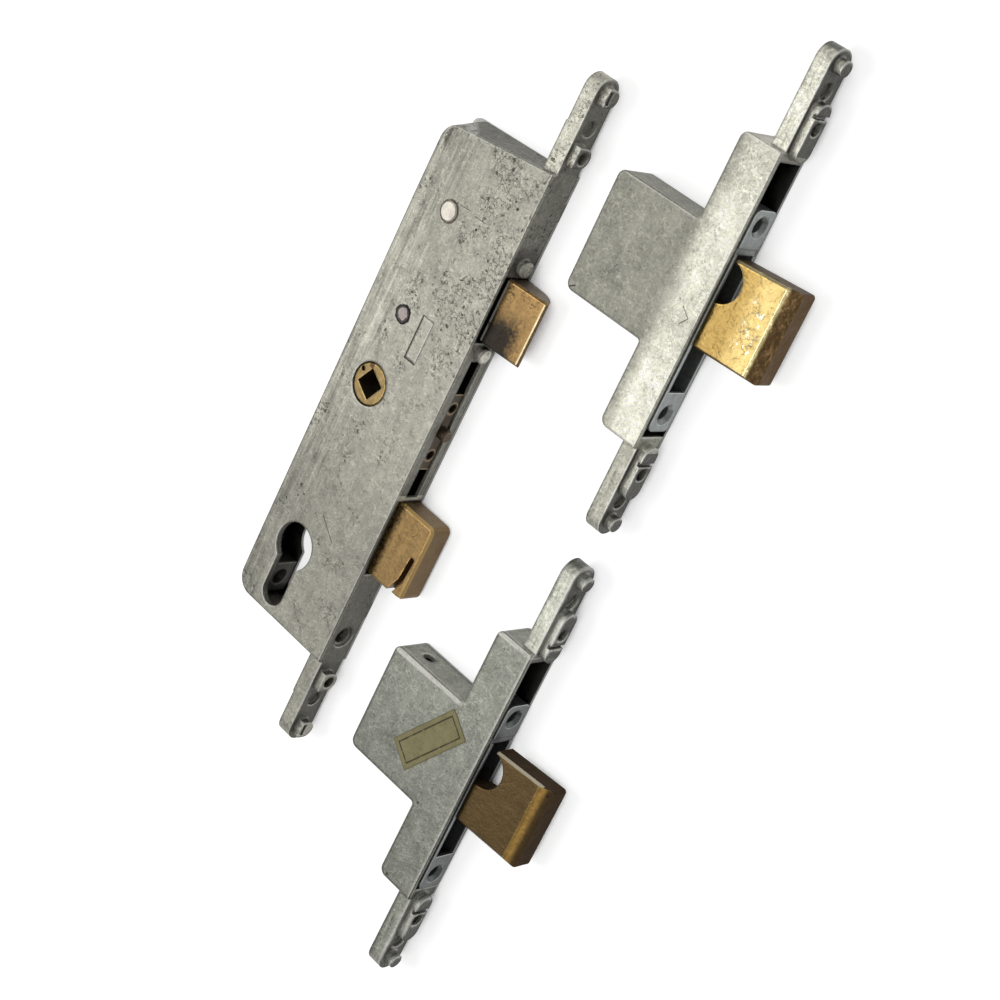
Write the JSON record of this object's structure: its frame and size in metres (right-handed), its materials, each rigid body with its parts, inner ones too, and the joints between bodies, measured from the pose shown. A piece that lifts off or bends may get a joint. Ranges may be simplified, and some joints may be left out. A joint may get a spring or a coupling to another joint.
{
  "type": "multipoint door lock case set",
  "caption": "Gearbox case of a multipoint door lock with latch, deadbolt and spindle follower, and its hook bolt cases.",
  "frame": {"origin": "spindle axis where it leaves the rear cover of the gearbox case", "axes": "+X out of the door edge along the bolts, +Y up the door, +Z through the thickness from the rear covers to the near faces"},
  "size_m": [0.1545, 0.3519, 0.0147],
  "materials": {
    "main_zinc": "satin die-cast zinc",
    "upper_zinc": "satin die-cast zinc",
    "lower_zinc": "satin die-cast zinc",
    "cover_steel": "plated sheet steel",
    "fastener_steel": "plated steel",
    "dark_steel": "oiled steel",
    "rail_steel": "plated pressed steel",
    "slide_bronze": "tarnished",
    "brass_follower": "tarnished",
    "bolt_brass": "dull cast",
    "upper_hook_brass": "polished cast",
    "lower_hook_brass": "dull cast",
    "spring_steel": "spring steel"
  },
  "bodies": {
    "cases": {"main_case": "main_zinc", "main_cover": "cover_steel", "top_rivet": "fastener_steel", "latch_lever_post": "fastener_steel", "guide_block": "fastener_steel", "upper_case": "upper_zinc", "upper_cover": "cover_steel", "lower_case": "lower_zinc", "lower_cover": "cover_steel"},
    "spindle_follower": {"follower": "brass_follower"},
    "drive": {"drive_slide": "slide_bronze", "slide_stud": "fastener_steel"},
    "latch": {"latch_bolt": "bolt_brass", "latch_spring": "spring_steel"},
    "latch_arm": {"latch_lever": "dark_steel"},
    "bolt": {"deadbolt": "bolt_brass"},
    "upper_drive": {"upper_carriage": "rail_steel", "upper_drive_pin": "dark_steel"},
    "upper_hook": {"upper_hook_bolt": "upper_hook_brass"},
    "lower_drive": {"lower_carriage": "rail_steel", "lower_drive_pin": "dark_steel"},
    "lower_hook": {"lower_hook_bolt": "lower_hook_brass"}
  },
  "joints": [
    {"name": "follower_turn", "type": "hinge", "parent": "cases", "child": "spindle_follower", "pos_m": [0, 0, 0.007], "axis": [0, 0, 1], "range_deg": [-26, 28]},
    {"name": "drive_slide_move", "type": "slide", "parent": "cases", "child": "drive", "axis": [0, 1, 0], "range_m": [-0.0104, 0.0112]},
    {"name": "latch_slide", "type": "slide", "parent": "cases", "child": "latch", "axis": [1, 0, 0], "range_m": [-0.0154, 0], "stiffness_N_per_m": 120, "springref_m": 0.012, "deforming": ["latch_spring"]},
    {"name": "latch_lever_turn", "type": "hinge", "parent": "cases", "child": "latch_arm", "pos_m": [0.00045, 0.0283, 0.007], "axis": [0, 0, 1], "range_deg": [0, 46.12]},
    {"name": "deadbolt_slide", "type": "slide", "parent": "cases", "child": "bolt", "axis": [1, 0, 0], "range_m": [-0.0172, 0]},
    {"name": "upper_carriage_slide", "type": "slide", "parent": "cases", "child": "upper_drive", "axis": [-0.0201, 0.9998, 0], "range_m": [-0.002, 0.0151]},
    {"name": "upper_hook_slide", "type": "slide", "parent": "cases", "child": "upper_hook", "axis": [0.9998, 0.0201, 0], "range_m": [-0.0242, 0.0032]},
    {"name": "lower_carriage_slide", "type": "slide", "parent": "cases", "child": "lower_drive", "axis": [-0.0148, 0.9999, 0], "range_m": [0, 0.0171]},
    {"name": "lower_hook_slide", "type": "slide", "parent": "cases", "child": "lower_hook", "axis": [0.9999, 0.0148, 0], "range_m": [-0.0274, 0]}
  ],
  "couplings": [
    {"joint": "drive_slide_move", "follows": "follower_turn", "m_per_rad": 0.0225},
    {"joint": "latch_lever_turn", "follows": "latch_slide", "rad_per_m": -52.152},
    {"joint": "upper_hook_slide", "follows": "upper_carriage_slide", "ratio": -1.6},
    {"joint": "lower_hook_slide", "follows": "lower_carriage_slide", "ratio": -1.6}
  ]
}
